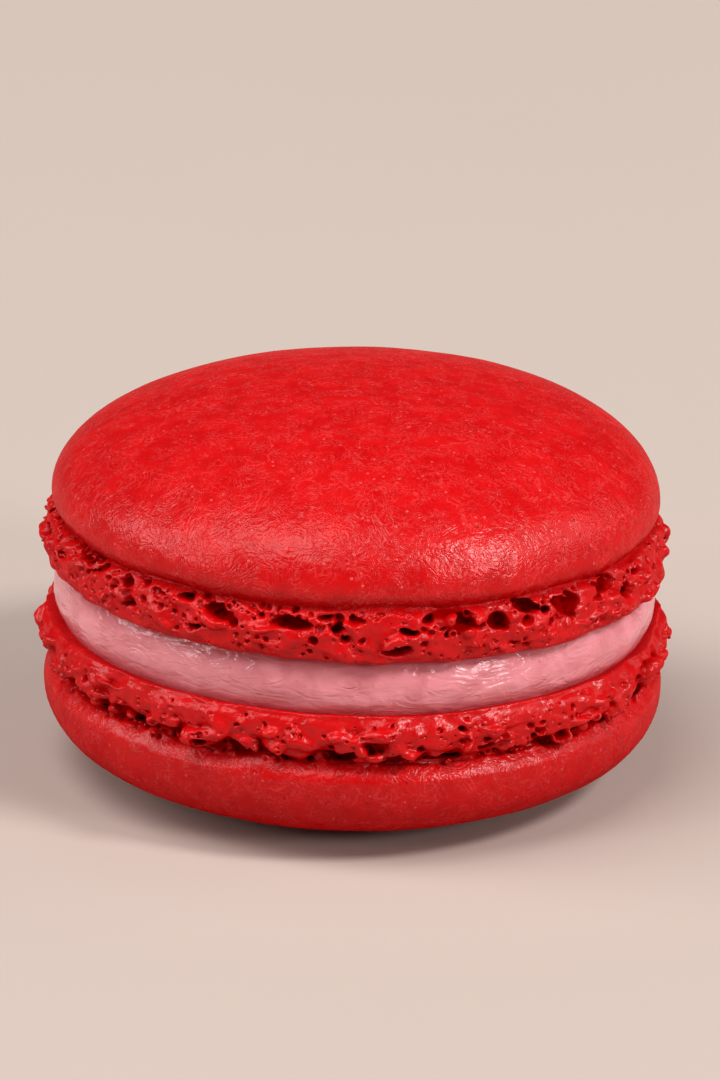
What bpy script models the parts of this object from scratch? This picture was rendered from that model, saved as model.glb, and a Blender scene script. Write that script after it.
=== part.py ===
"""French macaron: two baked almond shells, each with its ruffled foot, and the buttercream between them.

Each shell is one baked piece. It is a turned form, a smooth dome over a short foot that ends in the
flat face it was baked on. The foot is uneven: it swells into lobes, and a ring of blown pits opens
just under the dome's lip. The lower shell is the same form turned over, so it rests on its dome.

The origin is the point on the resting surface under the middle of the macaron. +Z is up.
"""

import math
from dataclasses import dataclass

import bpy
import numpy as np

MM = 0.001

# Driving dimensions, in millimetres
LOWER_FACE_HEIGHT = 11.6    # resting surface to the lower shell's flat face
FILLING_SPACE = 4.2         # between the flat faces of the two shells
FACE_GAP = 0.3              # clearance between the filling and each shell
FOOT_RADIUS = 23.1          # mean reach of the feet
LOWER_FACE_SLOPE = -0.008   # rise of the lower shell's flat face along +X
UPPER_FACE_SLOPE = -0.020   # rise of the upper shell's flat face along +X
UPPER_DOME_SLOPE = 0.014    # rise of the upper dome along +X

FILLING_FACE_RADIUS = 21.6
FILLING_BULGE_RADIUS = 22.25

# How finely the forms are divided
TURN_STEPS = 104
DOME_ROWS = 9
BULGE_ROWS = 5

# Lobes of a foot: waves round the ring, and how far each one moves the surface
LOBE_WAVES = ((7, 0.14), (12, 0.15), (19, 0.15), (27, 0.13))
LOBE_TWIST = 1.1            # radians that a wave turns for each millimetre of height

# Pits blown out under the dome's lip
PIT_COUNT = 26
PIT_DEPTHS = (0.7, 2.2)
PIT_HALF_WIDTHS = (4.0, 7.5)    # degrees
PIT_ROW_HEIGHT = 0.84           # of the height of the lip
PIT_ROW_SPREAD = 0.60           # half the height of the row of pits


@dataclass(frozen=True)
class ShellSizes:
    """One shell in its baking position: flat face down at height 0, dome up. Millimetres."""

    face_radius: float      # crisp edge of the flat face
    edge_fall: float        # how far the face falls away at that edge
    lip_height: float       # underside of the dome's lip
    rim_height: float       # where the dome is widest
    rim_radius: float
    dome_rise: float        # from the widest place to the pole
    radial_power: float     # the dome's outline is a superellipse with these two powers
    height_power: float
    spot_depth: float       # flattened at the pole by this much
    seed: int


UPPER = ShellSizes(
    face_radius=22.35,
    edge_fall=0.0,
    lip_height=3.55,
    rim_height=4.3,
    rim_radius=22.35,
    dome_rise=8.8,
    radial_power=2.14,
    height_power=2.26,
    spot_depth=0.0,
    seed=11,
)
LOWER = ShellSizes(
    face_radius=22.55,
    edge_fall=0.3,
    lip_height=3.6,
    rim_height=4.5,
    rim_radius=22.9,
    dome_rise=7.2,
    radial_power=3.15,
    height_power=2.9,
    spot_depth=0.1,
    seed=23,
)


def clear_scene():
    for obj in list(bpy.data.objects):
        bpy.data.objects.remove(obj, do_unlink=True)


def new_collection(name):
    collection = bpy.data.collections.new(name)
    bpy.context.scene.collection.children.link(collection)
    return collection


def new_material(name, color, roughness):
    material = bpy.data.materials.new(name)
    material.use_nodes = True
    material.diffuse_color = (*color, 1.0)
    shader = material.node_tree.nodes["Principled BSDF"]
    shader.inputs["Base Color"].default_value = (*color, 1.0)
    shader.inputs["Roughness"].default_value = roughness
    shader.inputs["Metallic"].default_value = 0.0
    return material


def turned(name, profile, collection):
    """Turn a profile of (radius, height) points, listed down the outer side, about the Z axis."""
    mesh = bpy.data.meshes.new(name)
    points = [(radius * MM, 0.0, height * MM) for radius, height in profile]
    edges = [(index, index + 1) for index in range(len(points) - 1)]
    mesh.from_pydata(points, edges, [])
    turning = bpy.data.objects.new(name + "_profile", mesh)
    collection.objects.link(turning)
    screw = turning.modifiers.new("Turn", "SCREW")
    screw.steps = TURN_STEPS
    screw.render_steps = TURN_STEPS
    screw.use_merge_vertices = True
    screw.merge_threshold = 0.00001
    screw.use_smooth_shade = True
    evaluated = turning.evaluated_get(bpy.context.evaluated_depsgraph_get())
    solid = bpy.data.objects.new(name, bpy.data.meshes.new_from_object(evaluated))
    solid.data.name = name
    collection.objects.link(solid)
    bpy.data.objects.remove(turning, do_unlink=True)
    bpy.data.meshes.remove(mesh)
    return solid


def dome_profile(sizes):
    """The dome's outline, from the pole down to its widest place."""
    top = sizes.rim_height + sizes.dome_rise - sizes.spot_depth
    spot = 1.0 - (1.0 - sizes.spot_depth / sizes.dome_rise) ** sizes.height_power
    start = math.acos(spot ** 0.5)
    points = [(0.0, top)]
    for row in range(DOME_ROWS + 1):
        angle = start * (1.0 - row / DOME_ROWS)
        radius = sizes.rim_radius * math.cos(angle) ** (2.0 / sizes.radial_power)
        rise = sizes.dome_rise * math.sin(angle) ** (2.0 / sizes.height_power)
        if radius > 0.01:
            points.append((radius, sizes.rim_height + rise))
    return points


def foot_profile(sizes):
    """From under the dome's lip, out over the lobes of the foot and in across the flat face."""
    lip = sizes.lip_height
    rim = sizes.rim_radius
    return [
        (rim - 0.12, lip + 0.25),
        (rim - 0.60, lip),
        (rim - 0.75, lip * 0.90),
        (rim - 0.45, lip * 0.77),
        (FOOT_RADIUS - 0.25, lip * 0.64),
        (FOOT_RADIUS, lip * 0.48),
        (FOOT_RADIUS - 0.02, lip * 0.30),
        (FOOT_RADIUS - 0.25, lip * 0.12),
        (sizes.face_radius, -sizes.edge_fall + 0.02),
        (sizes.face_radius - 1.0, 0.0),
        (0.0, 0.0),
    ]


def lobes(angle, height, rng):
    """How far the foot swells out at each place: a few waves that turn as they climb."""
    swell = np.zeros_like(angle)
    for waves, reach in LOBE_WAVES:
        phase, twist = rng.uniform(0.0, 2.0 * math.pi), rng.choice((-1.0, 1.0)) * LOBE_TWIST
        swell += reach * np.sin(waves * angle + phase + twist * height)
    return swell


def pits(angle, height, row_height, rng):
    """How deep the pits are at each place, in a row round the foot at row_height."""
    depth = np.zeros_like(angle)
    spacing = 2.0 * math.pi / PIT_COUNT
    for pit in range(PIT_COUNT):
        centre = (pit + rng.uniform(-0.35, 0.35)) * spacing
        half_width = math.radians(rng.uniform(*PIT_HALF_WIDTHS))
        off = np.abs((angle - centre + math.pi) % (2.0 * math.pi) - math.pi) / half_width
        bowl = np.where(off < 1.0, np.cos(off * math.pi / 2.0) ** 2, 0.0)
        depth = np.maximum(depth, rng.uniform(*PIT_DEPTHS) * bowl)
    off_row = (height - row_height) / PIT_ROW_SPREAD
    return depth * np.exp(-off_row ** 2)


def read_points(obj):
    points = np.empty(len(obj.data.vertices) * 3)
    obj.data.vertices.foreach_get("co", points)
    return points.reshape(-1, 3) / MM


def write_points(obj, points):
    obj.data.vertices.foreach_set("co", (points * MM).ravel())
    obj.data.update()


def ruffle_foot(obj, sizes):
    """Make the turned foot uneven. The dome and the middle of the flat face stay as turned."""
    rng = np.random.default_rng(sizes.seed)
    points = read_points(obj)
    angle = np.arctan2(points[:, 1], points[:, 0])
    radius = np.hypot(points[:, 0], points[:, 1])
    height = points[:, 2]
    up_the_foot = np.clip(height / sizes.lip_height, 0.0, 1.0)
    on_the_foot = (radius > sizes.face_radius - 1.5) & (height < sizes.lip_height + 0.3)
    weight = 0.3 + 0.7 * np.sin(math.pi * up_the_foot) ** 0.8
    pit_row = PIT_ROW_HEIGHT * sizes.lip_height
    moved = lobes(angle, height, rng) * weight - pits(angle, height, pit_row, rng)
    moved = np.where(on_the_foot, moved, 0.0)
    points[:, 0] += moved * np.cos(angle)
    points[:, 1] += moved * np.sin(angle)
    write_points(obj, points)


def baked_shell(name, sizes, material, collection):
    shell = turned(name, dome_profile(sizes) + foot_profile(sizes), collection)
    ruffle_foot(shell, sizes)
    shell.data.materials.append(material)
    return shell


def lower_shell(material, collection):
    """Turned over about the X axis, so that the dome's flattened pole is what it rests on."""
    shell = baked_shell("shell_bottom", LOWER, material, collection)
    points = read_points(shell) * (1.0, -1.0, -1.0)
    pole = -LOWER.rim_height - LOWER.dome_rise + LOWER.spot_depth
    level = 1.0 - points[:, 2] / pole
    points[:, 2] += LOWER_FACE_HEIGHT + LOWER_FACE_SLOPE * points[:, 0] * np.clip(level, 0.0, 1.0)
    write_points(shell, points)
    return shell


def upper_shell(material, collection):
    """Set on the filling. Its face leans one way and its dome a little the other."""
    shell = baked_shell("shell_top", UPPER, material, collection)
    points = read_points(shell)
    level = np.clip(points[:, 2] / (UPPER.rim_height + UPPER.dome_rise), 0.0, 1.0)
    slope = UPPER_FACE_SLOPE + (UPPER_DOME_SLOPE - UPPER_FACE_SLOPE) * level
    points[:, 2] += LOWER_FACE_HEIGHT + FILLING_SPACE + slope * points[:, 0]
    write_points(shell, points)
    return shell


def filling(material, collection):
    """A disc of buttercream, pressed out so that its side bulges between the two feet."""
    bulge = FILLING_BULGE_RADIUS - FILLING_FACE_RADIUS
    side = []
    for row in range(BULGE_ROWS + 1):
        down = row / BULGE_ROWS
        side.append((FILLING_FACE_RADIUS + bulge * math.sin(math.pi * down) ** 0.7, 1.0 - down))
    profile = [(0.0, 1.0), *side, (0.0, 0.0)]
    disc = turned("filling", [(radius, level / MM) for radius, level in profile], collection)
    points = read_points(disc)
    level = points[:, 2] * MM
    bottom = LOWER_FACE_HEIGHT + FACE_GAP + LOWER_FACE_SLOPE * points[:, 0]
    top = LOWER_FACE_HEIGHT + FILLING_SPACE - FACE_GAP + UPPER_FACE_SLOPE * points[:, 0]
    points[:, 2] = bottom + (top - bottom) * level
    write_points(disc, points)
    disc.data.materials.append(material)
    return disc


def centre_on_origin(pieces):
    """Put the middle of the whole outline over the origin, and its lowest point at height 0."""
    points = np.concatenate([read_points(piece) for piece in pieces])
    middle = (points.min(axis=0) + points.max(axis=0)) / 2.0
    middle[2] = points[:, 2].min()
    for piece in pieces:
        write_points(piece, read_points(piece) - middle)


def shade(piece):
    piece.data.shade_smooth()
    piece.data.set_sharp_from_angle(angle=math.radians(50.0))


def build():
    clear_scene()
    collection = new_collection("french_macaron")
    baked_top = new_material("baked_shell_top", (0.62, 0.016, 0.020), 0.55)
    baked_bottom = new_material("baked_shell_bottom", (0.60, 0.014, 0.018), 0.55)
    buttercream = new_material("buttercream", (0.62, 0.24, 0.28), 0.35)
    pieces = [
        lower_shell(baked_bottom, collection),
        filling(buttercream, collection),
        upper_shell(baked_top, collection),
    ]
    centre_on_origin(pieces)
    for piece in pieces:
        shade(piece)


build()
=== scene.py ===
"""Looks of the french macaron: two baked almond shells with blown, ruffled feet, and buttercream.

Each shell is made in its baking position, flat face down and dome up. Its foot is a solid field on
a ring-shaped grid: lobes are added to it, hollows and pores are taken out of it, and its surface is
then drawn as a mesh that the dome and the flat face close. The lower shell is turned over.

Lengths in the making are in millimetres, and become metres when a mesh is stored.
"""

import math
from collections import Counter
from dataclasses import dataclass

import bmesh
import bpy
import numpy as np
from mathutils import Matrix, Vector
from mathutils.noise import noise as value_noise


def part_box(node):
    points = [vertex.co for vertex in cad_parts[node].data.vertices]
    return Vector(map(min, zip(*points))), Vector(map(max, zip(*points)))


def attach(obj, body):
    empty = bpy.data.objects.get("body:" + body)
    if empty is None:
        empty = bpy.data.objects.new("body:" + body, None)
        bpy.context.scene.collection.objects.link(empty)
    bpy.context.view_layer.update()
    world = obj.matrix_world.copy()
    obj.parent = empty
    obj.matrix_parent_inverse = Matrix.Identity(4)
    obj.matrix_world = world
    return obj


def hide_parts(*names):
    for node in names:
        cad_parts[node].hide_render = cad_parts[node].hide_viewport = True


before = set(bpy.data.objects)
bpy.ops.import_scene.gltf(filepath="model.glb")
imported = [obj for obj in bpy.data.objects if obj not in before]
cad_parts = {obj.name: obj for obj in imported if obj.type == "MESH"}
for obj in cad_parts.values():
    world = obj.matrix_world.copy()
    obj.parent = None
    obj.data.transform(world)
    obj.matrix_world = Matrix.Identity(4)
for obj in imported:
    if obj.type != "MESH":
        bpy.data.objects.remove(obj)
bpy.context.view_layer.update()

MM = 0.001
TURN = 2.0 * math.pi


# ---------------------------------------------------------------- sizes

# Both shells' flat faces lean a little, and the upper dome leans the other way (rise along +X)
LOWER_FACE_SLOPE = -0.008
UPPER_FACE_SLOPE = -0.020
UPPER_DOME_SLOPE = 0.014
FACE_GAP = 0.3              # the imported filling's clearance to each shell

FILLING_LOW, FILLING_HIGH = (np.array(corner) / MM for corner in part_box("filling"))
AXIS_X, AXIS_Y = (FILLING_LOW + FILLING_HIGH)[:2] / 2.0
FILLING_REACH = (FILLING_HIGH - FILLING_LOW)[0] / 2.0
FILLING_FOOTPRINT = FILLING_REACH - 0.65
LOWER_FACE = FILLING_LOW[2] - FACE_GAP - LOWER_FACE_SLOPE * FILLING_FOOTPRINT
UPPER_FACE = FILLING_HIGH[2] + FACE_GAP + UPPER_FACE_SLOPE * FILLING_FOOTPRINT


@dataclass(frozen=True)
class ShellSizes:
    """One shell in its baking position: flat face at height 0, dome up."""

    face_radius: float      # crisp edge of the flat face
    edge_fall: float        # how far the face falls away at that edge
    lip_height: float       # underside of the dome's lip
    rim_height: float       # where the dome is widest
    rim_radius: float
    dome_rise: float        # from the widest place to the pole
    radial_power: float     # the dome's outline is a superellipse with these two powers
    height_power: float
    lip_tuck: float         # how far the dome curls in from its widest place to its lip
    seed: int


UPPER = ShellSizes(22.35, 0.0, 3.55, 4.75, 22.35, 8.35, 2.10, 2.18, 0.95, 11)
LOWER = ShellSizes(22.55, 0.3, 3.6, 4.5, 22.9, 7.2, 3.05, 2.9, 0.90, 23)


# ---------------------------------------------------------------- small helpers

def smoothstep(low, high, value):
    share = np.clip((value - low) / (high - low), 0.0, 1.0)
    return share * share * (3.0 - 2.0 * share)


def soft_union(one, other, blend):
    share = np.clip(0.5 + 0.5 * (other - one) / blend, 0.0, 1.0)
    return other + (one - other) * share - blend * share * (1.0 - share)


def soft_cut(field, cutter, blend):
    return -soft_union(-field, cutter, blend)


def dome_radius(sizes, height):
    """The dome's radius at a height above its widest place."""
    rise = np.clip((height - sizes.rim_height) / sizes.dome_rise, 0.0, 1.0)
    return sizes.rim_radius * (1.0 - rise ** sizes.height_power) ** (1.0 / sizes.radial_power)


def spline_rows(places, count, wraps):
    """Weights that read `count` values in a row at these places, as one smooth cubic spline."""
    base = np.floor(places).astype(int)
    part = places - base
    weights = (
        (1.0 - part) ** 3,
        3.0 * part ** 3 - 6.0 * part ** 2 + 4.0,
        -3.0 * part ** 3 + 3.0 * part ** 2 + 3.0 * part + 1.0,
        part ** 3,
    )
    rows = np.zeros((len(places), count), np.float32)
    for offset, weight in enumerate(weights):
        column = base - 1 + offset
        column = column % count if wraps else np.clip(column, 0, count - 1)
        np.add.at(rows, (np.arange(len(places)), column), weight / 6.0)
    return rows


# ---------------------------------------------------------------- the ring-shaped grid

class RingGrid:
    """Grid points round the foot: columns by angle, then by radius, then by height."""

    def __init__(self, columns, radii, heights):
        self.columns = columns
        self.radii = radii
        self.heights = heights
        self.turn = TURN / columns
        self.angles = np.arange(columns) * self.turn

    def noise(self, rng, size, stretch=1.0):
        """Smooth noise with a spread of 1, with lumps `size` across, longer round the ring."""
        around = int(round(TURN * self.radii.mean() / (size * stretch)))
        across = int(np.ptp(self.radii) / size) + 5
        up = int(np.ptp(self.heights) / size) + 5
        values = rng.normal(size=(around, across, up)).astype(np.float32)
        read = spline_rows(self.angles / TURN * around, around, True)
        values = np.tensordot(read, values, (1, 0))
        read = spline_rows((self.radii - self.radii[0]) / size + 2.0, across, False)
        values = np.tensordot(values, read, (1, 1)).transpose(0, 2, 1)
        read = spline_rows((self.heights - self.heights[0]) / size + 2.0, up, False)
        values = np.tensordot(values, read, (2, 1))
        return values / values.std()

    def window(self, angle, radius, height, reach):
        """The grid's points near a place, and where they are from it: along, out and up."""
        half = int(reach / (radius * self.turn)) + 2
        columns = int(round(angle / self.turn)) + np.arange(-half, half + 1)
        rows = np.nonzero(np.abs(self.radii - radius) < reach)[0]
        levels = np.nonzero(np.abs(self.heights - height) < reach)[0]
        along = (columns * self.turn - angle) * radius
        out = self.radii[rows] - radius
        up = self.heights[levels] - height
        index = np.ix_(columns % self.columns, rows, levels)
        return index, along[:, None, None], out[None, :, None], up[None, None, :]


def ellipsoid(along, out, up, halves, slant):
    """Distance to an ellipsoid of half length, half depth and half height, turned by slant."""
    cos, sin = math.cos(slant), math.sin(slant)
    turned = (along * cos + up * sin, out, up * cos - along * sin)
    near = np.sqrt(sum((place / half) ** 2 for place, half in zip(turned, halves)))
    steep = np.sqrt(sum((place / half ** 2) ** 2 for place, half in zip(turned, halves)))
    return near * (near - 1.0) / np.maximum(steep, 1e-6)


# ---------------------------------------------------------------- the foot

COLUMNS = 1344
GRID_STEP = 0.106
GRID_IN = 2.9               # how far the grid reaches in from the face's edge
GRID_OUT = 1.6
SOLID_CORE = 0.4            # no hollow reaches further in than this far from the grid's inner side
GRID_BELOW = 0.5
GRID_ABOVE_RIM = 1.1

# Each foot's core: share of the lip's height, and reach past the face's edge
UPPER_CORE = (
    (0.00, 0.00), (0.05, 0.22), (0.14, 0.40), (0.28, 0.48), (0.50, 0.48), (0.70, 0.36),
    (0.85, 0.20), (0.94, 0.06), (1.00, -0.18), (1.08, -0.60),
)
LOWER_CORE = (
    (0.00, 0.00), (0.05, 0.22), (0.14, 0.38), (0.28, 0.44), (0.46, 0.36), (0.60, 0.00),
    (0.74, -0.60), (0.90, -0.90), (1.00, -0.95), (1.08, -1.10),
)

# Rows of lobes: share of the lip's height, lobes round the ring, the range of their reach past
# the face's edge, and the ranges of half length, half depth and half height
LOBE_ROWS = (
    (0.28, 62, (0.42, 0.94), (0.6, 1.7), (0.5, 0.9), (0.28, 0.55)),
    (0.54, 66, (0.38, 0.98), (0.5, 1.7), (0.5, 0.9), (0.32, 0.70)),
    (0.78, 64, (-0.15, 0.72), (0.4, 1.2), (0.5, 0.8), (0.28, 0.50)),
)
LOBE_BLEND = 0.15

# Hollows seen from the front: angle in degrees (-90 is the front), height, width and tallness
UPPER_HOLLOWS = (
    (-158, 2.4, 1.8, 0.7), (-150, 3.1, 1.0, 0.5), (-147, 2.5, 1.3, 0.6), (-143, 3.2, 0.9, 0.5),
    (-136, 3.0, 0.7, 0.6), (-127, 3.2, 1.4, 0.6), (-122, 3.3, 1.2, 0.5), (-119, 1.5, 1.0, 0.7),
    (-115, 2.8, 2.6, 1.0), (-110, 2.1, 0.7, 0.6), (-107, 2.9, 0.8, 0.6), (-101, 2.7, 3.6, 1.1),
    (-95, 3.3, 1.3, 0.5), (-92, 2.7, 1.0, 0.6), (-82, 1.2, 2.3, 1.0), (-80, 2.5, 1.8, 0.7),
    (-77, 3.1, 1.1, 0.7), (-74, 2.6, 1.1, 0.5), (-70, 2.9, 2.1, 1.5), (-63, 2.6, 1.9, 1.4),
    (-57, 3.2, 2.4, 1.1), (-53, 2.7, 1.1, 0.5), (-48, 2.9, 2.8, 1.6), (-40, 1.0, 1.6, 0.8),
    (-37, 3.2, 2.6, 1.1), (-30, 1.9, 1.8, 0.9), (-25, 3.2, 2.4, 1.0),
)
LOWER_HOLLOWS = (
    (-152, 2.5, 1.1, 0.9), (-146, 3.1, 2.4, 0.9), (-134, 2.4, 2.1, 1.1), (-125, 2.6, 2.6, 1.3),
    (-121, 3.1, 0.7, 0.4), (-113, 2.7, 1.3, 0.7), (-108, 2.4, 2.2, 1.0), (-101, 2.7, 1.8, 1.3),
    (-93, 2.6, 1.6, 0.9), (-89, 2.2, 1.4, 0.9), (-83, 2.6, 2.4, 0.8), (-78, 2.8, 1.8, 0.8),
    (-73, 2.8, 2.4, 0.9), (-68, 2.8, 2.4, 0.9), (-61, 2.9, 2.2, 1.3), (-56, 2.8, 2.0, 0.9),
    (-51, 3.0, 2.8, 1.1), (-44, 3.0, 2.1, 1.2), (-35, 3.1, 1.4, 0.7), (-29, 3.1, 3.0, 1.3),
    (-18, 3.2, 1.4, 0.8),
)
HIDDEN_SIDE = (-12.0, 196.0)    # degrees, where the hollows are left to chance
HOLLOW_SPACING = 6.6            # degrees between two of them, about
HOLLOW_DEPTH = (1.0, 1.6)
HOLLOW_SLANT = 0.25

# Kinds of pore: how many, smallest and largest radius, and the shares of the lip's height they
# lie between
PORE_KINDS = (
    (60, 0.22, 0.36, 0.40, 0.95),
    (130, 0.14, 0.26, 0.90, 1.02),
    (210, 0.14, 0.24, 0.18, 1.00),
    (800, 0.08, 0.14, 0.05, 1.04),
)
CRATER_SHARE = 0.08             # of the pores, those with a raised ring
BRIDGE = (7, 3)                 # columns and levels either way, over which hollows are bridged
LIP_SHADE = 0.75                # painted shade under the upper lip: how deep its underside counts as being
LIP_SHADE_HEIGHT = 2.2


def foot_grid(sizes):
    radii = np.arange(sizes.face_radius - GRID_IN, sizes.face_radius + GRID_OUT, GRID_STEP)
    top = sizes.rim_height + GRID_ABOVE_RIM
    heights = np.arange(-GRID_BELOW, top, GRID_STEP)
    return RingGrid(COLUMNS, radii, heights)


def plain_foot(sizes, grid, rng):
    """The dome's lip over the foot's core."""
    radii = grid.radii[None, :, None]
    heights = grid.heights[None, None, :]
    lip = sizes.lip_height + 0.09 * grid.noise(rng, 3.0)[:, :1, :1]
    lip = lip + 0.035 * grid.noise(rng, 0.8)[:, :1, :1]
    under = np.clip((sizes.rim_height + 0.3 - heights) / (sizes.rim_height + 0.3 - lip), 0.0, 1.0)
    lip_curve = sizes.lip_tuck * under ** 1.8
    dome = np.maximum(radii - dome_radius(sizes, heights) + lip_curve, lip - heights)
    share, reach = np.array(UPPER_CORE if sizes is UPPER else LOWER_CORE).T
    core_radius = sizes.face_radius + np.interp(heights / lip, share, reach)
    core = np.maximum(radii - core_radius, heights - lip - 0.3)
    return np.minimum(dome, core).astype(np.float32)


def add_blob(field, grid, angle, radius, height, halves, slant, blend):
    reach = max(halves) + blend + 0.2
    index, *place = grid.window(angle, radius, height, reach)
    field[index] = soft_union(field[index], ellipsoid(*place, halves, slant), blend)


def cut_blob(field, grid, angle, radius, height, halves, slant, blend, ceiling=None):
    """Take an ellipsoid out of the field, up to a ceiling that may differ from column to column."""
    reach = max(halves) + blend + 0.2
    index, *place = grid.window(angle, radius, height, reach)
    cutter = ellipsoid(*place, halves, slant)
    if ceiling is not None:
        cutter = np.maximum(cutter, height + place[2] - ceiling[index[0]])
    field[index] = soft_cut(field[index], cutter, blend)


def add_lobes(field, grid, sizes, rng):
    for share, count, reaches, lengths, depths, tallness in LOBE_ROWS:
        spacing = TURN / count
        for lobe in range(count):
            angle = (lobe + rng.uniform(-0.45, 0.45)) * spacing
            height = sizes.lip_height * (share + rng.uniform(-0.09, 0.09))
            halves = (rng.uniform(*lengths), rng.uniform(*depths), rng.uniform(*tallness))
            radius = sizes.face_radius + rng.uniform(*reaches) - halves[1]
            slant = rng.uniform(-0.35, 0.35)
            add_blob(field, grid, angle, radius, height, halves, slant, LOBE_BLEND)


def all_hollows(seen, sizes, rng):
    """The hollows seen from the front, then like ones for the rest of the ring."""
    for degrees, height, width, tall in seen:
        yield math.radians(degrees), height, width, tall
    first, last = HIDDEN_SIDE
    for number in range(int((last - first) / HOLLOW_SPACING)):
        degrees = first + (number + rng.uniform(0.1, 0.9)) * HOLLOW_SPACING
        height = sizes.lip_height * rng.uniform(0.68, 0.90)
        yield math.radians(degrees), height, rng.uniform(0.8, 2.8), rng.uniform(0.5, 1.3)


def cut_hollows(field, grid, sizes, seen, rng):
    ceiling = sizes.lip_height + 0.07 * grid.noise(rng, 1.6)[:, 0, 0]
    for angle, height, width, tall in all_hollows(seen, sizes, rng):
        width, tall = 0.9 * width, 0.9 * tall
        depth = rng.uniform(*HOLLOW_DEPTH) * (0.5 + 0.25 * min(width, 2.0))
        slant = rng.uniform(-HOLLOW_SLANT, HOLLOW_SLANT)
        radius = outer_radius(field, grid, angle, height) - 0.15 * depth
        halves = (width / 2.0, depth, tall / 2.0)
        cut_blob(field, grid, angle, radius, height, halves, slant, 0.05, ceiling)
        for _ in range(int(1.0 + 1.2 * width)):
            aside = rng.uniform(-0.45, 0.45) * width
            raised = rng.uniform(-0.35, 0.35) * tall
            size = rng.uniform(0.16, 0.32)
            cut_blob(
                field, grid, angle + aside / radius, radius + 0.1 * depth, height + raised,
                (size, size * 1.8, size * 0.8), slant, 0.04, ceiling,
            )


def outer_radius(field, grid, angle, height):
    """Where the field's outermost surface lies at this angle and height."""
    column = int(round(angle / grid.turn)) % grid.columns
    level = int(np.argmin(np.abs(grid.heights - height)))
    solid = np.nonzero(field[column, :, level] < 0.0)[0]
    return grid.radii[solid[-1]] if len(solid) else None


def cut_pores(field, grid, sizes, rng):
    for count, smallest, largest, low, high in PORE_KINDS:
        for _ in range(count):
            angle = rng.uniform(0.0, TURN)
            height = sizes.lip_height * rng.uniform(low, high)
            size = rng.uniform(smallest, largest)
            crater = rng.random() < CRATER_SHARE
            radius = outer_radius(field, grid, angle, height)
            if radius is None:
                continue
            if crater:
                ring = (size + 0.15,) * 3
                add_blob(field, grid, angle, radius - 0.05, height, ring, 0.0, 0.08)
                radius += 0.10
            halves = (size * rng.uniform(0.9, 1.6), size * 1.9, size * rng.uniform(0.8, 1.1))
            slant = rng.uniform(-0.5, 0.5)
            cut_blob(field, grid, angle, radius, height, halves, slant, 0.02)


def foot_field(sizes, grid, seen):
    """Below 0 inside the baked shell, above 0 outside it."""
    rng = np.random.default_rng(sizes.seed)
    field = plain_foot(sizes, grid, rng)
    add_lobes(field, grid, sizes, rng)
    on_foot = smoothstep(sizes.lip_height + 0.35, sizes.lip_height - 0.1, grid.heights)
    past_edge = smoothstep(sizes.face_radius - 1.6, sizes.face_radius - 0.6, grid.radii)
    weight = (past_edge[:, None] * on_foot[None, :]).astype(np.float32)
    field += 0.110 * weight * grid.noise(rng, 1.1, 1.3)
    cut_hollows(field, grid, sizes, seen, rng)
    field += 0.090 * weight * grid.noise(rng, 0.5, 1.3)
    cut_pores(field, grid, sizes, rng)
    core = grid.radii - grid.radii[0] - SOLID_CORE
    field = np.minimum(field, core[None, :, None].astype(np.float32))
    fall = sizes.edge_fall * smoothstep(
        sizes.face_radius - 1.2, sizes.face_radius + 0.2, grid.radii
    )
    waver = 0.03 * grid.noise(rng, 2.0)[:, :, :1] * past_edge[None, :, None]
    face = -grid.heights[None, None, :] - fall[None, :, None] + waver
    return soft_cut(field, -face, 0.05)


def smooth_reach(field, grid):
    """The foot's outer radius with its hollows and pores bridged: a row for each column."""
    rows = np.arange(len(grid.radii))[None, :, None]
    last = np.where(field < 0.0, rows, 0).max(axis=1)
    reach = grid.radii[last]
    around, up = BRIDGE
    widest = reach.copy()
    for step in range(-around, around + 1):
        widest = np.maximum(widest, np.roll(reach, step, axis=0))
    padded = np.pad(widest, ((0, 0), (up, up)), mode="edge")
    levels = reach.shape[1]
    widest = np.max([padded[:, step:step + levels] for step in range(2 * up + 1)], axis=0)
    return np.mean([np.roll(widest, step, axis=0) for step in range(-around, around + 1)], axis=0)


# ---------------------------------------------------------------- drawing the field's surface

def untangle(field, rounds=8):
    """Part solids that meet only corner to corner, so that the surface drawn is a clean one."""
    shape = field.shape
    flat = field.reshape(-1)
    number = np.arange(flat.size).reshape(shape)
    for _ in range(rounds):
        found = 0
        for one, other in ((0, 1), (0, 2), (1, 2)):
            near_one = number if one == 0 else number.take(range(shape[one] - 1), one)
            far_one = np.roll(number, -1, 0) if one == 0 else number.take(range(1, shape[one]), one)
            last = shape[other] - 1
            corners = [
                near_one.take(range(last), other), far_one.take(range(last), other),
                far_one.take(range(1, last + 1), other), near_one.take(range(1, last + 1), other),
            ]
            inside = [flat[corner] < 0.0 for corner in corners]
            twist = (inside[0] == inside[2]) & (inside[1] == inside[3]) & (inside[0] != inside[1])
            picked = np.stack([corner[twist] for corner in corners], axis=1)
            if not len(picked):
                continue
            depth = np.where(flat[picked] < 0.0, flat[picked], -np.inf)
            thinnest = picked[np.arange(len(picked)), depth.argmax(axis=1)]
            flat[thinnest] = 0.02
            found += len(picked)
        if not found:
            break
    return flat.reshape(shape)


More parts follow.
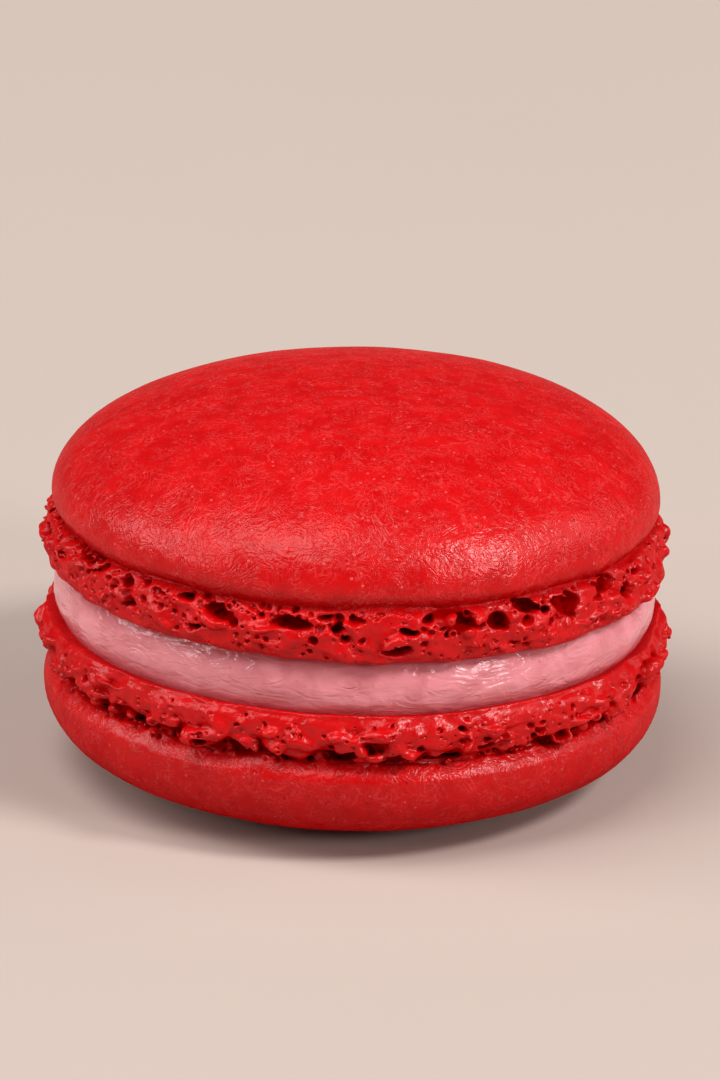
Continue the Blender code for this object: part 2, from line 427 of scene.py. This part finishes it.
def surface_net(field):
    """One vertex in each grid cell that the surface crosses, and a quad across each crossed edge.

    Columns wrap round. Vertices come back in grid steps: column, row and level.
    """
    columns, rows, levels = field.shape
    cells = (columns, rows - 1, levels - 1)
    count = np.zeros(np.prod(cells), np.int32)
    total = np.zeros((3, len(count)))
    quads = []
    for axis in range(3):
        if axis == 0:
            near, far = field, np.roll(field, -1, axis=0)
        elif axis == 1:
            near, far = field[:, :-1], field[:, 1:]
        else:
            near, far = field[:, :, :-1], field[:, :, 1:]
        crossed = np.nonzero((near < 0.0) != (far < 0.0))
        start, end = near[crossed], far[crossed]
        place = [part.astype(float) for part in crossed]
        place[axis] += start / (start - end)
        one, other = [each for each in range(3) if each != axis]
        ring, whole = [], np.ones(len(start), bool)
        for step_one, step_other in ((-1, -1), (0, -1), (0, 0), (-1, 0)):
            cell = [part.copy() for part in crossed]
            cell[one] += step_one
            cell[other] += step_other
            good = np.ones(len(start), bool)
            for each in (1, 2):
                good &= (cell[each] >= 0) & (cell[each] < cells[each])
            offset = [place[each] - cell[each] for each in range(3)]
            cell[0] %= columns
            flat = np.ravel_multi_index([np.where(good, part, 0) for part in cell], cells)
            count += np.bincount(flat[good], minlength=len(count)).astype(np.int32)
            for each in range(3):
                total[each] += np.bincount(flat[good], offset[each][good], len(count))
            ring.append(flat)
            whole &= good
        faces = np.stack(ring, axis=1)[whole]
        backward = (start[whole] < 0.0) != (axis == 1)
        faces[backward] = faces[backward][:, ::-1]
        quads.append(faces)
    used = np.nonzero(count)[0]
    order = np.zeros(len(count), np.int64)
    order[used] = np.arange(len(used))
    corner = np.stack(np.unravel_index(used, cells), axis=1)
    points = corner + (total[:, used] / count[used]).T
    return points, order[np.concatenate(quads)]


def largest_body(points, quads):
    """Leave out crumbs that hang free and bubbles that are shut in."""
    label = np.arange(len(points))
    edges = np.concatenate([quads[:, (0, 1)], quads[:, (1, 2)], quads[:, (2, 3)]])
    while True:
        low = np.minimum(label[edges[:, 0]], label[edges[:, 1]])
        new = label.copy()
        np.minimum.at(new, edges[:, 0], low)
        np.minimum.at(new, edges[:, 1], low)
        new = np.minimum(new, new[new])
        new = new[new]
        if np.array_equal(new, label):
            break
        label = new
    body = np.bincount(label[quads[:, 0]]).argmax()
    quads = quads[label[quads[:, 0]] == body]
    used = np.unique(quads)
    order = np.zeros(len(points), np.int64)
    order[used] = np.arange(len(used))
    return points[used], order[quads]


def open_ends(points, quads):
    """The two rings of vertices where the drawn band is still open, each in order of column."""
    edges = np.concatenate([quads[:, (a, (a + 1) % 4)] for a in range(4)])
    edges.sort(axis=1)
    found, times = np.unique(edges, axis=0, return_counts=True)
    ends = np.unique(found[times == 1])
    high = points[ends, 2] > points[:, 2].mean()
    rings = []
    for ring in (ends[high], ends[~high]):
        rings.append(ring[np.argsort(points[ring, 0])])
    return rings


def relax(points, quads, still, rounds):
    edges = np.concatenate([quads[:, (a, (a + 1) % 4)] for a in range(4)])
    edges = np.concatenate([edges, edges[:, ::-1]])
    times = np.maximum(np.bincount(edges[:, 0], minlength=len(points)), 1)
    for _ in range(rounds):
        mean = np.empty_like(points)
        for axis in range(3):
            near = points[edges[:, 1], axis]
            mean[:, axis] = np.bincount(edges[:, 0], near, len(points)) / times
        moved = points + 0.5 * (mean - points)
        moved[still] = points[still]
        points = moved
    return points


# ---------------------------------------------------------------- a whole shell

CAP_STEP = 0.5              # row spacing on the dome and the flat face


class Builder:
    """Collects points and faces, with rings that may halve their number of points."""

    def __init__(self, points, faces):
        self.points = [points]
        self.count = len(points)
        self.faces = [tuple(face) for face in faces]

    def ring(self, angles, radius, height):
        ring = np.stack(
            [radius * np.cos(angles), radius * np.sin(angles), np.full(len(angles), height)], axis=1
        )
        self.points.append(ring)
        self.count += len(ring)
        return np.arange(self.count - len(ring), self.count)

    def join(self, low, high, flip):
        """Faces between two rings. The second has as many points as the first, or half as many."""
        faces = []
        after = np.roll(np.arange(len(high)), -1)
        for place, following in enumerate(after):
            here, there = high[place], high[following]
            if len(low) == len(high):
                faces.append((low[place], low[following], there, here))
            else:
                one, two = low[2 * place], low[2 * place + 1]
                three = low[(2 * place + 2) % len(low)]
                faces += [(one, two, here), (two, there, here), (two, three, there)]
        self.faces += [face[::-1] if flip else face for face in faces]

    def close(self, ring, height, flip):
        self.points.append(np.array([[0.0, 0.0, height]]))
        pole = self.count
        self.count += 1
        for place, following in zip(ring, np.roll(ring, -1)):
            face = (place, following, pole)
            self.faces.append(face[::-1] if flip else face)

    def cap(self, ring, angles, rows, flip):
        """Close a ring with rows of (radius, height), the last of them at the pole."""
        for radius, height in rows[:-1]:
            if len(ring) % 2 == 0 and TURN * radius / len(ring) < 0.75 * CAP_STEP:
                angles = angles[::2]
            new = self.ring(angles, radius, height)
            self.join(ring, new, flip)
            ring = new
        self.close(ring, rows[-1][1], flip)


def dome_rows(sizes, height):
    """Rows over the dome from a height near its rim to the pole, evenly spaced along its outline."""
    start = math.asin(((height - sizes.rim_height) / sizes.dome_rise) ** (sizes.height_power / 2.0))
    angle = np.linspace(start, math.pi / 2.0, 2000)
    radius = sizes.rim_radius * np.maximum(np.cos(angle), 0.0) ** (2.0 / sizes.radial_power)
    rise = sizes.dome_rise * np.sin(angle) ** (2.0 / sizes.height_power)
    length = np.concatenate([[0.0], np.cumsum(np.hypot(np.diff(radius), np.diff(rise)))])
    stops = np.linspace(0.0, length[-1], int(length[-1] / CAP_STEP) + 1)[1:]
    radii = np.interp(stops, length, radius)
    heights = sizes.rim_height + np.interp(stops, length, rise)
    return list(zip(radii, heights))


def face_rows(radius):
    stops = np.linspace(radius, 0.0, int(radius / (2.0 * CAP_STEP)) + 1)[1:]
    return [(stop, 0.0) for stop in stops]


def baked_shell(sizes, seen):
    """Points, faces and surface values of a whole shell in its baking position."""
    grid = foot_grid(sizes)
    field = untangle(foot_field(sizes, grid, seen))
    steps, quads = largest_body(*surface_net(field))
    top_ring, face_ring = open_ends(steps, quads)
    still = np.concatenate([top_ring, face_ring])
    angle = steps[:, 0] * grid.turn
    radius = grid.radii[0] + steps[:, 1] * GRID_STEP
    height = grid.heights[0] + steps[:, 2] * GRID_STEP
    points = np.stack([radius * np.cos(angle), radius * np.sin(angle), height], axis=1)
    points = relax(points, quads, still, 2)

    # the dome's own side is drawn exactly, clear of what is uneven under its lip
    radius = np.hypot(points[:, 0], points[:, 1])
    exact = smoothstep(sizes.rim_height + 0.3, sizes.rim_height + 0.7, points[:, 2])
    scale = 1.0 + exact * (dome_radius(sizes, points[:, 2]) / radius - 1.0)
    points[:, :2] *= scale[:, None]
    points[face_ring, 2] = 0.0

    build = Builder(points, quads)
    angles = (np.arange(COLUMNS) + 0.5) * grid.turn
    top_height = points[top_ring, 2].mean()
    points[top_ring, 2] = top_height
    build.cap(top_ring, angles, dome_rows(sizes, top_height), flip=False)
    face_radius = np.hypot(*points[face_ring, :2].T).mean()
    build.cap(face_ring, angles, face_rows(face_radius), flip=True)

    column = np.rint(steps[:, 0]).astype(int) % COLUMNS
    level = np.clip(np.rint(steps[:, 2]).astype(int), 0, len(grid.heights) - 1)
    # How deep each point lies inside the foot's bridged outer surface: the material paints shade in
    # the hollows with it, and dulls their gloss
    deep = smooth_reach(field, grid)[column, level] - grid.radii[0] - steps[:, 1] * GRID_STEP
    on_foot = smoothstep(sizes.lip_height + 0.25, sizes.lip_height - 0.15, height)
    deep *= on_foot * smoothstep(0.1, 0.4, height)
    # painted shade under the upper lip: its lowest part above the foot counts as deep, so it is
    # darkened like a hollow
    if sizes is UPPER:
        under_lip = smoothstep(sizes.lip_height + LIP_SHADE_HEIGHT, sizes.lip_height, height)
        deep += LIP_SHADE * under_lip * (1.0 - on_foot)
    values = {"foot": on_foot, "deep": deep, "free": 1.0 - exact}
    values["free"][still] = 0.0
    points = uneven(np.concatenate(build.points), sizes)
    for name, value in values.items():
        values[name] = np.concatenate([value, np.zeros(len(points) - len(value))])
    return points, build.faces, values


def uneven(points, sizes):
    """The dome's slight hand-piped unevenness."""
    share = smoothstep(sizes.lip_height - 0.6, sizes.lip_height + 0.6, points[:, 2])
    shift = np.zeros(len(points))
    offset = Vector((sizes.seed, 0.0, 0.0))
    for index in np.nonzero(share > 0.0)[0]:
        place = Vector(points[index])
        shift[index] = 0.07 * value_noise(place / 5.5 + offset) + 0.02 * value_noise(place / 1.8)
    outward = points - (0.0, 0.0, sizes.lip_height - 3.0)
    outward /= np.maximum(np.linalg.norm(outward, axis=1), 1e-6)[:, None]
    return points + outward * (share * shift)[:, None]


def new_piece(name, points, faces, collection, values=None):
    mesh = bpy.data.meshes.new(name)
    mesh.from_pydata(points * MM, [], faces)
    for label, value in (values or {}).items():
        attribute = mesh.attributes.new(label, "FLOAT", "POINT")
        attribute.data.foreach_set("value", np.asarray(value, np.float32))
    mesh.shade_smooth()
    piece = bpy.data.objects.new(name, mesh)
    collection.objects.link(piece)
    return piece


MOST_TRIANGLES = 190000


def thin_out(piece, values):
    """Merge the band's smallest triangles, and leave the dome and the flat face as they are."""
    group = piece.vertex_groups.new(name="free")
    group.add(np.nonzero(values["free"] > 0.5)[0].tolist(), 1.0, "REPLACE")
    triangles = sum(len(face.vertices) - 2 for face in piece.data.polygons)
    modifier = piece.modifiers.new("thin_out", "DECIMATE")
    modifier.ratio = min(1.0, MOST_TRIANGLES / triangles)
    modifier.vertex_group = group.name
    modifier.vertex_group_factor = 1000.0
    graph = bpy.context.evaluated_depsgraph_get()
    mesh = bpy.data.meshes.new_from_object(piece.evaluated_get(graph))
    piece.modifiers.clear()
    piece.vertex_groups.clear()
    old = piece.data
    piece.data = mesh
    bpy.data.meshes.remove(old)
    mesh.name = piece.name
    drop_slivers(mesh)


def drop_slivers(mesh):
    """Take out specks of two faces back to back, which merging small triangles can leave."""
    corners = [tuple(sorted(face.vertices)) for face in mesh.polygons]
    seen = Counter(corners)
    shape = bmesh.new()
    shape.from_mesh(mesh)
    shape.faces.ensure_lookup_table()
    doubled = [shape.faces[index] for index, key in enumerate(corners) if seen[key] > 1]
    bmesh.ops.delete(shape, geom=doubled, context="FACES")
    shape.to_mesh(mesh)
    shape.free()


def lower_shell(collection):
    points, faces, values = baked_shell(LOWER, LOWER_HOLLOWS)
    points = points * (1.0, -1.0, -1.0)
    level = 1.0 + points[:, 2] / (LOWER.rim_height + LOWER.dome_rise)
    points[:, 2] += LOWER_FACE + LOWER_FACE_SLOPE * points[:, 0] * np.clip(level, 0.0, 1.0)
    points[:, 2] = np.maximum(points[:, 2], 0.0)
    points[:, :2] += (AXIS_X, AXIS_Y)
    piece = new_piece("baked_shell_lower", points, faces, collection, values)
    thin_out(piece, values)
    return piece


def upper_shell(collection):
    points, faces, values = baked_shell(UPPER, UPPER_HOLLOWS)
    level = np.clip(points[:, 2] / (UPPER.rim_height + UPPER.dome_rise), 0.0, 1.0)
    slope = UPPER_FACE_SLOPE + (UPPER_DOME_SLOPE - UPPER_FACE_SLOPE) * level
    points[:, 2] += UPPER_FACE + slope * points[:, 0]
    points[:, :2] += (AXIS_X, AXIS_Y)
    piece = new_piece("baked_shell_upper", points, faces, collection, values)
    thin_out(piece, values)
    return piece


# ---------------------------------------------------------------- the filling

FILLING_COLUMNS = 1104
FILLING_ROWS = 52
SINK = 0.12                 # how far the buttercream presses into each flat face
TOP_TUCK = 0.35             # its upper edge lies this much further in than its lower edge


def filling_side(angles, share, smear):
    """Radius and height of the pressed-out side, from its lower edge (0) to its upper edge (1)."""
    bulge = FILLING_REACH - FILLING_FOOTPRINT + TOP_TUCK / 2.0
    radius = FILLING_FOOTPRINT - TOP_TUCK * share + bulge * np.sin(math.pi * share) ** 0.9
    x = radius * np.cos(angles)
    low = LOWER_FACE - SINK + LOWER_FACE_SLOPE * x
    high = UPPER_FACE + SINK + UPPER_FACE_SLOPE * x
    return radius + smear, low + (high - low) * share


def buttercream(collection):
    rng = np.random.default_rng(37)
    shares = (1.0 - np.cos(np.linspace(0.0, math.pi, FILLING_ROWS))) / 2.0
    grid = RingGrid(FILLING_COLUMNS, np.linspace(21.0, 22.0, 3), shares * 4.4)
    broad = grid.noise(rng, 3.0, 2.5)[:, 1]
    strokes = grid.noise(rng, 0.55, 3.5)[:, 1]
    fine = grid.noise(rng, 0.28, 2.0)[:, 1]
    slanted = np.empty_like(strokes)
    for row in range(FILLING_ROWS):
        slanted[:, row] = np.roll(strokes[:, row], int(row * 0.9))
    smear = 0.05 * broad + 0.035 * slanted + 0.010 * fine
    smear *= np.sin(math.pi * shares) ** 0.5
    radius, height = filling_side(grid.angles[:, None], shares[None, :], smear)
    points = np.stack(
        [radius * np.cos(grid.angles)[:, None], radius * np.sin(grid.angles)[:, None], height],
        axis=2,
    ).reshape(-1, 3)
    rings = np.arange(FILLING_COLUMNS * FILLING_ROWS).reshape(FILLING_COLUMNS, FILLING_ROWS)
    build = Builder(points, [])
    for row in range(FILLING_ROWS - 1):
        build.join(rings[:, row], rings[:, row + 1], flip=False)
    middle_low, middle_high = LOWER_FACE - SINK, UPPER_FACE + SINK
    build.close(rings[:, 0], middle_low, flip=True)
    build.close(rings[:, -1], middle_high, flip=False)
    points = np.concatenate(build.points)
    points[:, :2] += (AXIS_X, AXIS_Y)
    # painted shade near both faces, where the filling meets the shells
    edge = np.tile(smoothstep(0.32, 0.06, np.minimum(shares, 1.0 - shares)), FILLING_COLUMNS)
    edge = np.append(edge, (1.0, 1.0))
    return new_piece("buttercream", points, build.faces, collection, {"edge": edge})


# ---------------------------------------------------------------- materials

BRIGHT_RED = (0.545, 0.003, 0.004, 1.0)
DEEP_RED = (0.485, 0.001, 0.002, 1.0)
# dark red for the crust's patches and specks, and for painted shade towards the bottom
SPECK_AND_SHADE_RED = (0.30, 0.0, 0.001, 1.0)
# pale red: painted highlight on the skin's wrinkles, and partly pale grains in the tiny dots
GRAIN_AND_HIGHLIGHT_RED = (0.75, 0.12, 0.12, 1.0)
# dark red for the dome's pits, and for painted shade in the foot's hollows and under the upper lip
PIT_AND_SHADE_RED = (0.22, 0.0, 0.0, 1.0)
BRIGHT_PINK = (0.71, 0.245, 0.272, 1.0)
DEEP_PINK = (0.61, 0.185, 0.208, 1.0)
# dark pink for the buttercream's specks, and for painted shade near the shells
SPECK_AND_SHADE_PINK = (0.42, 0.045, 0.060, 1.0)

DOME_GLOSS = 0.25
FOOT_GLOSS = 0.25
UNDERSIDE_SHADE_TOP = 10.0        # millimetres up, below which the crust turns duller and gets painted shade, darker towards the bottom


def add_node(tree, kind, inputs=None, **settings):
    """A new node with these settings. An input is a value, or the output that feeds it."""
    node = tree.nodes.new(kind)
    for key, value in settings.items():
        setattr(node, key, value)
    for key, value in (inputs or {}).items():
        if isinstance(value, bpy.types.NodeSocket):
            tree.links.new(value, node.inputs[key])
        else:
            node.inputs[key].default_value = value
    return node


def noise(tree, place, size, detail=2.0, roughness=0.5, distortion=0.0):
    """Noise with lumps about `size` millimetres across, from 0 to 1."""
    inputs = {
        "Vector": place,
        "Scale": 1.0 / (size * MM),
        "Detail": detail,
        "Roughness": roughness,
        "Distortion": distortion,
    }
    return add_node(tree, "ShaderNodeTexNoise", inputs).outputs["Fac"]


def spots(tree, place, size):
    """Distance from the middle of the nearest cell, in cell sizes."""
    inputs = {"Vector": place, "Scale": 1.0 / (size * MM)}
    return add_node(tree, "ShaderNodeTexVoronoi", inputs).outputs["Distance"]


def spread(tree, value, low, high, to_low=0.0, to_high=1.0):
    inputs = {"Value": value, "From Min": low, "From Max": high, "To Min": to_low, "To Max": to_high}
    return add_node(tree, "ShaderNodeMapRange", inputs, interpolation_type="SMOOTHSTEP").outputs[0]


def mix_color(tree, share, one, other, blend="MIX"):
    node = add_node(tree, "ShaderNodeMix", data_type="RGBA", blend_type=blend)
    for socket, value in ((node.inputs[0], share), (node.inputs[6], one), (node.inputs[7], other)):
        if isinstance(value, bpy.types.NodeSocket):
            tree.links.new(value, socket)
        else:
            socket.default_value = value
    return node.outputs[2]


def maths(tree, operation, one, other):
    node = add_node(tree, "ShaderNodeMath", operation=operation)
    for socket, value in zip(node.inputs, (one, other)):
        if isinstance(value, bpy.types.NodeSocket):
            tree.links.new(value, socket)
        else:
            socket.default_value = value
    return node.outputs[0]


def bump(tree, height, depth, normal=None):
    """Relief `depth` millimetres deep."""
    inputs = {"Height": height, "Distance": depth * MM, "Strength": 1.0}
    if normal is not None:
        inputs["Normal"] = normal
    return add_node(tree, "ShaderNodeBump", inputs).outputs["Normal"]


def new_material(name):
    material = bpy.data.materials.new(name)
    material.use_nodes = True
    tree = material.node_tree
    place = add_node(tree, "ShaderNodeTexCoord").outputs["Object"]
    return material, tree, tree.nodes["Principled BSDF"], place


def feed(tree, shader, values):
    for key, value in values.items():
        if isinstance(value, bpy.types.NodeSocket):
            tree.links.new(value, shader.inputs[key])
        else:
            shader.inputs[key].default_value = value


def swirl_lines(tree, place, size, lines):
    """Fine curled lines, from -1 to 1: the contours of a smooth noise."""
    field = noise(tree, place, size, 1.5, 0.45, 0.6)
    return maths(tree, "SINE", maths(tree, "MULTIPLY", field, TURN * lines), 0.0)


def baked_shell_material():
    """Fine almond meringue: a soft matt skin over the dome, a glossier, blown crumb on the foot."""
    material, tree, shader, place = new_material("baked_shell_red")
    foot = add_node(tree, "ShaderNodeAttribute", attribute_name="foot").outputs["Fac"]
    deep = add_node(tree, "ShaderNodeAttribute", attribute_name="deep").outputs["Fac"]
    height = add_node(tree, "ShaderNodeSeparateXYZ", {"Vector": place}).outputs["Z"]
    under = spread(tree, height, UNDERSIDE_SHADE_TOP * MM, 0.0)
    mottle = noise(tree, place, 2.8, 3.0)
    patches = noise(tree, place, 1.1, 3.0, 0.55)
    lines = swirl_lines(tree, place, 1.7, 12.0)
    fine_lines = swirl_lines(tree, place, 0.8, 7.0)
    where = spread(tree, noise(tree, place, 1.3, 2.0), 0.30, 0.60, 0.45, 1.0)
    skin = maths(tree, "MULTIPLY", where, maths(tree, "SUBTRACT", 1.0, foot))
    wrinkles = maths(tree, "MULTIPLY", lines, skin)
    fine_wrinkles = maths(tree, "MULTIPLY", fine_lines, skin)
    pimples = spread(tree, spots(tree, place, 1.0), 0.15, 0.05)
    pits = spread(tree, spots(tree, place, 1.35), 0.12, 0.05)
    flecks = spread(tree, noise(tree, place, 0.6, 2.0), 0.58, 0.72)

    color = mix_color(tree, spread(tree, mottle, 0.36, 0.64), DEEP_RED, BRIGHT_RED)
    color = mix_color(tree, spread(tree, patches, 0.54, 0.36, 0.0, 0.17), color, SPECK_AND_SHADE_RED)
    # painted highlight: the wrinkles' ridges and fine lines are drawn paler, as if they caught the
    # light
    color = mix_color(tree, spread(tree, wrinkles, 0.55, 1.0, 0.0, 0.15), color, GRAIN_AND_HIGHLIGHT_RED)
    color = mix_color(tree, spread(tree, fine_wrinkles, 0.30, 1.0, 0.0, 0.12), color, GRAIN_AND_HIGHLIGHT_RED)
    # pale dots: partly pale grains, partly painted highlight on the tiny bumps
    color = mix_color(tree, maths(tree, "MULTIPLY", pimples, 0.45), color, GRAIN_AND_HIGHLIGHT_RED)
    color = mix_color(tree, maths(tree, "MULTIPLY", flecks, 0.30), color, SPECK_AND_SHADE_RED)
    color = mix_color(tree, maths(tree, "MULTIPLY", pits, 0.50), color, PIT_AND_SHADE_RED)
    # painted shade: darker towards the bottom, near the floor
    color = mix_color(tree, maths(tree, "MULTIPLY", under, 0.40), color, SPECK_AND_SHADE_RED)
    # painted shade: dark red in the foot's hollows and under the upper lip
    color = mix_color(tree, spread(tree, deep, 0.35, 1.1), color, PIT_AND_SHADE_RED)

    relief = bump(tree, mottle, 0.16)
    relief = bump(tree, patches, 0.12, relief)
    relief = bump(tree, wrinkles, 0.0075, relief)
    relief = bump(tree, fine_wrinkles, 0.0040, relief)
    relief = bump(tree, pimples, 0.026, relief)
    relief = bump(tree, maths(tree, "MULTIPLY", pits, -1.0), 0.018, relief)
    crumbs = maths(tree, "MULTIPLY", noise(tree, place, 0.5, 2.0), foot)
    relief = bump(tree, crumbs, 0.05, relief)
    dryness = spread(tree, deep, 0.30, 0.90)
    gloss = maths(
        tree, "MULTIPLY", spread(tree, foot, 0.0, 1.0, DOME_GLOSS, FOOT_GLOSS),
        maths(tree, "SUBTRACT", 1.0, dryness),
    )
    gloss = maths(tree, "MULTIPLY", gloss, spread(tree, under, 1.0, 0.0, 0.20, 1.0))
    feed(tree, shader, {
        "Base Color": color,
        "Roughness": maths(
            tree, "ADD", spread(tree, foot, 0.0, 1.0, 0.45, 0.30),
            maths(tree, "MULTIPLY", dryness, 0.50),
        ),
        "Specular IOR Level": 0.0,
        "Coat Weight": gloss,
        "Coat Roughness": 0.28,
        "Coat IOR": 1.8,
        "Normal": relief,
        "Coat Normal": relief,
    })
    return material


def buttercream_material():
    """Smooth pressed buttercream, with painted shade, darker and redder, near where it meets the
    shells.
    """
    material, tree, shader, place = new_material("pink_buttercream")
    edge = add_node(tree, "ShaderNodeAttribute", attribute_name="edge").outputs["Fac"]
    cloud = noise(tree, place, 3.0, 3.0, 0.5, 1.0)
    color = mix_color(tree, spread(tree, cloud, 0.36, 0.64), DEEP_PINK, BRIGHT_PINK)
    # painted shade: darker and redder near both faces, under the shells
    color = mix_color(tree, maths(tree, "MULTIPLY", edge, 0.55), color, SPECK_AND_SHADE_PINK)
    dots = spread(tree, spots(tree, place, 1.1), 0.11, 0.04)
    color = mix_color(tree, maths(tree, "MULTIPLY", dots, 0.45), color, SPECK_AND_SHADE_PINK)
    flat = {0: place, 1: (1.0, 1.0, 2.6)}
    along = add_node(tree, "ShaderNodeVectorMath", flat, operation="MULTIPLY").outputs[0]
    lines = swirl_lines(tree, along, 3.4, 6.0)
    where = spread(tree, noise(tree, along, 3.0, 1.0), 0.40, 0.58)
    relief = bump(tree, noise(tree, along, 1.6, 3.0, 0.5, 1.0), 0.12)
    relief = bump(tree, maths(tree, "MULTIPLY", lines, where), 0.016, relief)
    feed(tree, shader, {
        "Base Color": color,
        "Roughness": 0.20,
        "Specular IOR Level": 0.40,
        "Subsurface Weight": 0.20,
        "Subsurface Radius": (0.0010, 0.0005, 0.0004),
        "Subsurface Scale": 1.0,
        "Normal": relief,
    })
    return material


# ---------------------------------------------------------------- floor, light and camera

FLOOR_HALF = 4.0            # metres
FLOOR_COLOR = (0.490, 0.400, 0.353, 1.0)

CAMERA_ELEVATION = math.radians(20.0)
CAMERA_DISTANCE = 0.400
CAMERA_ROLL = math.radians(1.05)
CAMERA_LENS = 180.0
AIM = Vector((0.0004, 0.0017, 0.0162))


def pale_floor(collection):
    bpy.ops.mesh.primitive_plane_add(size=2.0 * FLOOR_HALF)
    floor = bpy.context.object
    floor.name = "floor"
    material, tree, shader, place = new_material("pale_floor")
    shade = noise(tree, place, 60.0, 3.0)
    color = mix_color(tree, shade, FLOOR_COLOR, tuple(0.97 * part for part in FLOOR_COLOR))
    feed(tree, shader, {"Base Color": color, "Roughness": 0.9, "Specular IOR Level": 0.1})
    floor.data.materials.append(material)


# Soft lights: degrees right of the front, degrees up, metres away, metres across, watts
LIGHTS = (
    ("key", -50.0, 65.0, 3.0, 2.2, 62.0),
    ("side", 62.0, 46.0, 3.0, 0.7, 56.0),
    ("window", 51.0, 22.0, 2.0, 0.42, 13.0),
    ("left_window", -60.0, 21.0, 2.0, 0.45, 6.0),
    ("left_fill", -92.0, 28.0, 3.0, 1.5, 35.0),
    ("right_fill", 100.0, 26.0, 3.0, 2.0, 17.0),
)
AMBIENT = 0.10


def studio():
    world = bpy.data.worlds.new("studio")
    bpy.context.scene.world = world
    world.use_nodes = True
    background = world.node_tree.nodes["Background"]
    background.inputs["Color"].default_value = (1.0, 0.97, 0.94, 1.0)
    background.inputs["Strength"].default_value = AMBIENT
    for name, turn, rise, away, size, power in LIGHTS:
        light = bpy.data.lights.new(name, "AREA")
        light.shape = "DISK"
        light.size = size
        light.energy = power
        lamp = bpy.data.objects.new(name, light)
        bpy.context.scene.collection.objects.link(lamp)
        turn, rise = math.radians(turn), math.radians(rise)
        toward = Vector((
            math.sin(turn) * math.cos(rise), -math.cos(turn) * math.cos(rise), math.sin(rise)
        ))
        lamp.location = AIM + away * toward
        lamp.rotation_euler = toward.to_track_quat("Z", "Y").to_euler()
    bpy.context.scene.view_settings.view_transform = "Standard"


def photo_camera():
    camera = bpy.data.cameras.new("camera")
    camera.lens = CAMERA_LENS
    camera.sensor_width = 36.0
    camera.clip_start = 0.01
    back = Vector((0.0, -math.cos(CAMERA_ELEVATION), math.sin(CAMERA_ELEVATION)))
    holder = bpy.data.objects.new("camera", camera)
    bpy.context.scene.collection.objects.link(holder)
    holder.location = AIM + CAMERA_DISTANCE * back
    level = (-back).to_track_quat("-Z", "Y").to_euler()
    holder.rotation_euler = level
    holder.rotation_euler.rotate_axis("Z", CAMERA_ROLL)
    bpy.context.scene.camera = holder


# ---------------------------------------------------------------- putting it together

def main():
    collection = bpy.data.collections.new("french_macaron")
    bpy.context.scene.collection.children.link(collection)
    lower = lower_shell(collection)
    upper = upper_shell(collection)
    cream = buttercream(collection)
    red = baked_shell_material()
    lower.data.materials.append(red)
    upper.data.materials.append(red)
    cream.data.materials.append(buttercream_material())
    for piece, node, slot in (
        (lower, "shell_bottom", "baked_shell"),
        (upper, "shell_top", "baked_shell"),
        (cream, "filling", "buttercream"),
    ):
        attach(piece, "root")
        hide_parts(node)
    pale_floor(collection)
    studio()
    photo_camera()


main()
